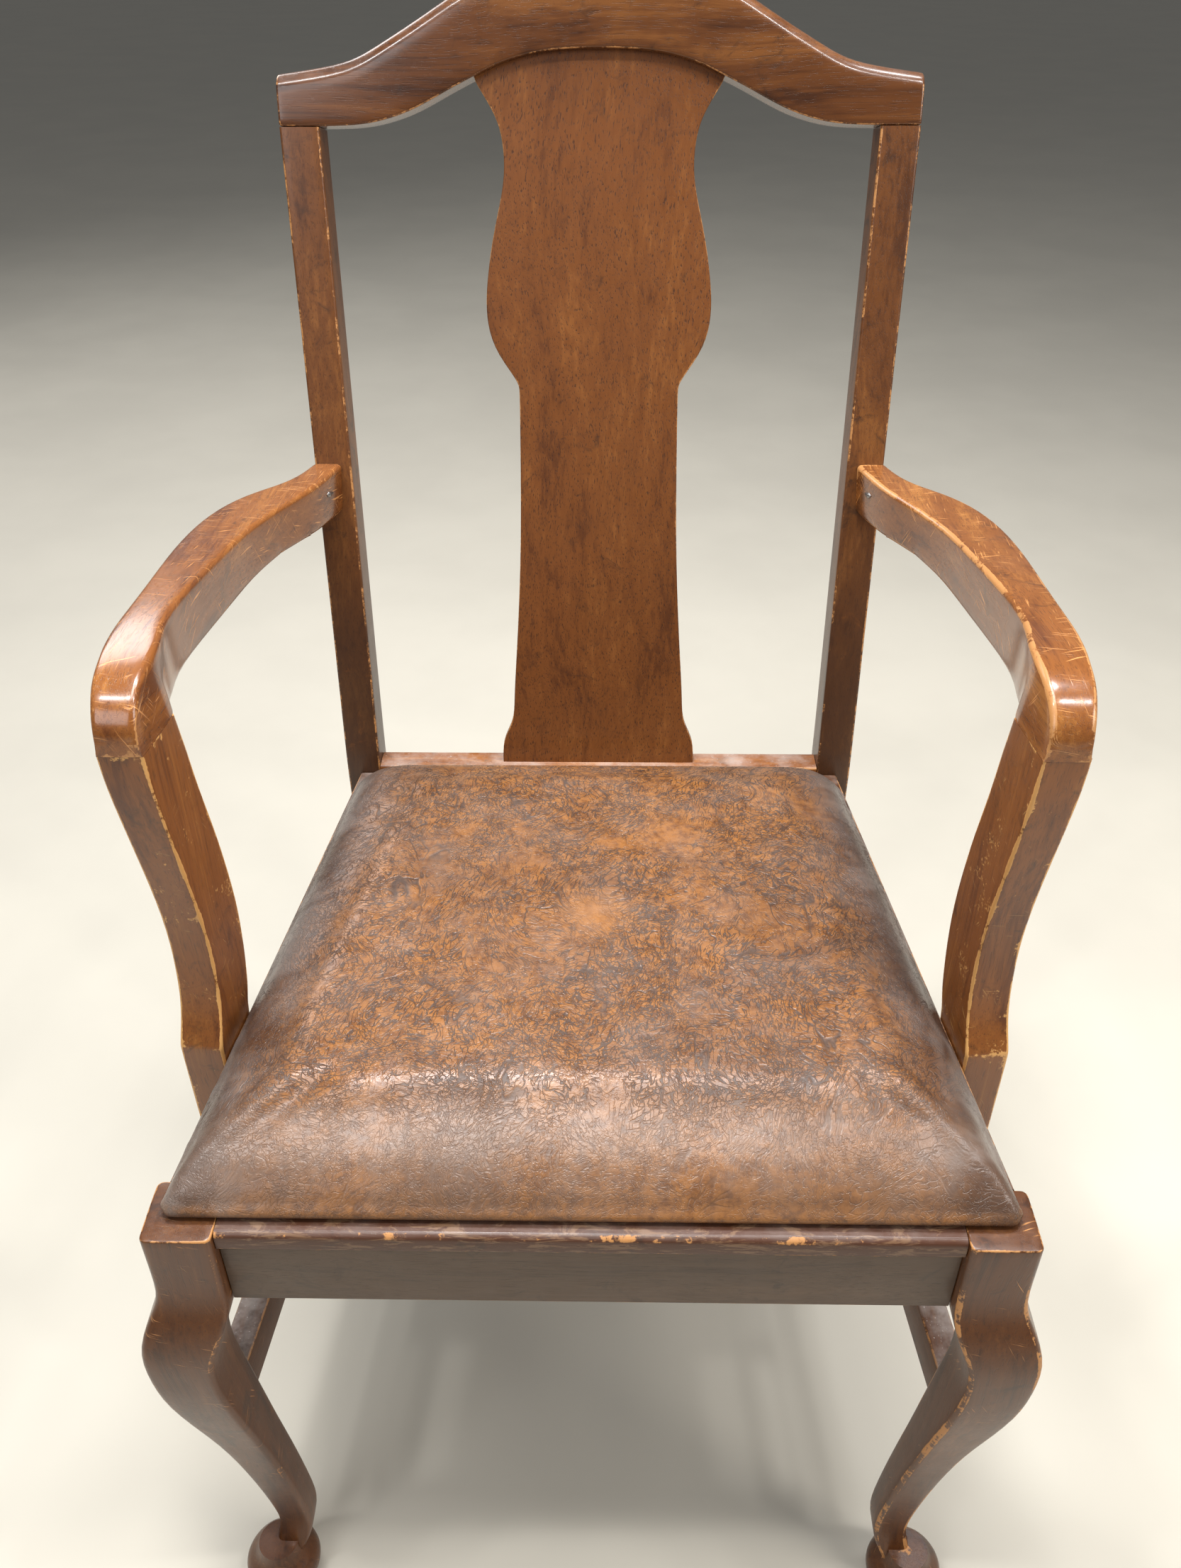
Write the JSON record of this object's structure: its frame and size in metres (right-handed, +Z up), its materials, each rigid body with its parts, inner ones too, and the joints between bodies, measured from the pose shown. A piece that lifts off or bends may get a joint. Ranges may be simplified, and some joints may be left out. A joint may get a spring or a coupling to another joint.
{
  "type": "armchair",
  "caption": "Wooden armchair with a vase-shaped back splat, curved arms, cabriole front legs and an upholstered slip seat.",
  "frame": {"origin": "On the floor under the middle of the chair's overall width and depth.", "axes": "+Z up, +X toward the chair's right-hand side as seen by someone facing it, +Y toward its back; the chair faces -Y."},
  "size_m": [0.545, 0.6282, 1.0133],
  "materials": {
    "frame_wood": "worn satin varnish, reddish brown",
    "splat_wood": "satin varnish, reddish brown with fine vertical grain",
    "plain_wood": "unfinished",
    "vinyl": "brown embossed vinyl, half gloss, worn",
    "stuffing": "loose fibre",
    "dust_cloth": "matt woven cambric",
    "steel": "plain, slightly dull"
  },
  "bodies": {
    "root": {"arm_dowel_1_left": "plain_wood", "arm_dowel_1_right": "plain_wood", "arm_dowel_2_left": "plain_wood", "arm_dowel_2_right": "plain_wood", "arm_left": "frame_wood", "arm_post_left": "frame_wood", "arm_post_right": "frame_wood", "arm_post_screw_1_left": "steel", "arm_post_screw_1_right": "steel", "arm_post_screw_2_left": "steel", "arm_post_screw_2_right": "steel", "arm_right": "frame_wood", "arm_screw_left": "steel", "arm_screw_right": "steel", "back_splat": "splat_wood", "block_screw_1_left": "steel", "block_screw_1_right": "steel", "block_screw_2_left": "steel", "block_screw_2_right": "steel", "block_screw_3_left": "steel", "block_screw_3_right": "steel", "block_screw_4_left": "steel", "block_screw_4_right": "steel", "crest_dowel_1_left": "plain_wood", "crest_dowel_1_right": "plain_wood", "crest_dowel_2_left": "plain_wood", "crest_dowel_2_right": "plain_wood", "crest_rail": "frame_wood", "cross_stretcher": "frame_wood", "front_corner_block_left": "plain_wood", "front_corner_block_right": "plain_wood", "front_glide_left": "steel", "front_glide_right": "steel", "front_leg_left": "frame_wood", "front_leg_right": "frame_wood", "front_seat_rail": "frame_wood", "rear_corner_block_left": "plain_wood", "rear_corner_block_right": "plain_wood", "rear_glide_left": "steel", "rear_glide_right": "steel", "rear_post_left": "frame_wood", "rear_post_right": "frame_wood", "rear_seat_rail": "frame_wood", "seat_board": "plain_wood", "seat_cover": "vinyl", "seat_dust_cloth": "dust_cloth", "seat_padding": "stuffing", "seat_screw_front_left": "steel", "seat_screw_front_right": "steel", "seat_screw_rear_left": "steel", "seat_screw_rear_right": "steel", "side_seat_rail_left": "frame_wood", "side_seat_rail_right": "frame_wood", "side_stretcher_left": "frame_wood", "side_stretcher_right": "frame_wood"}
  },
  "joints": []
}
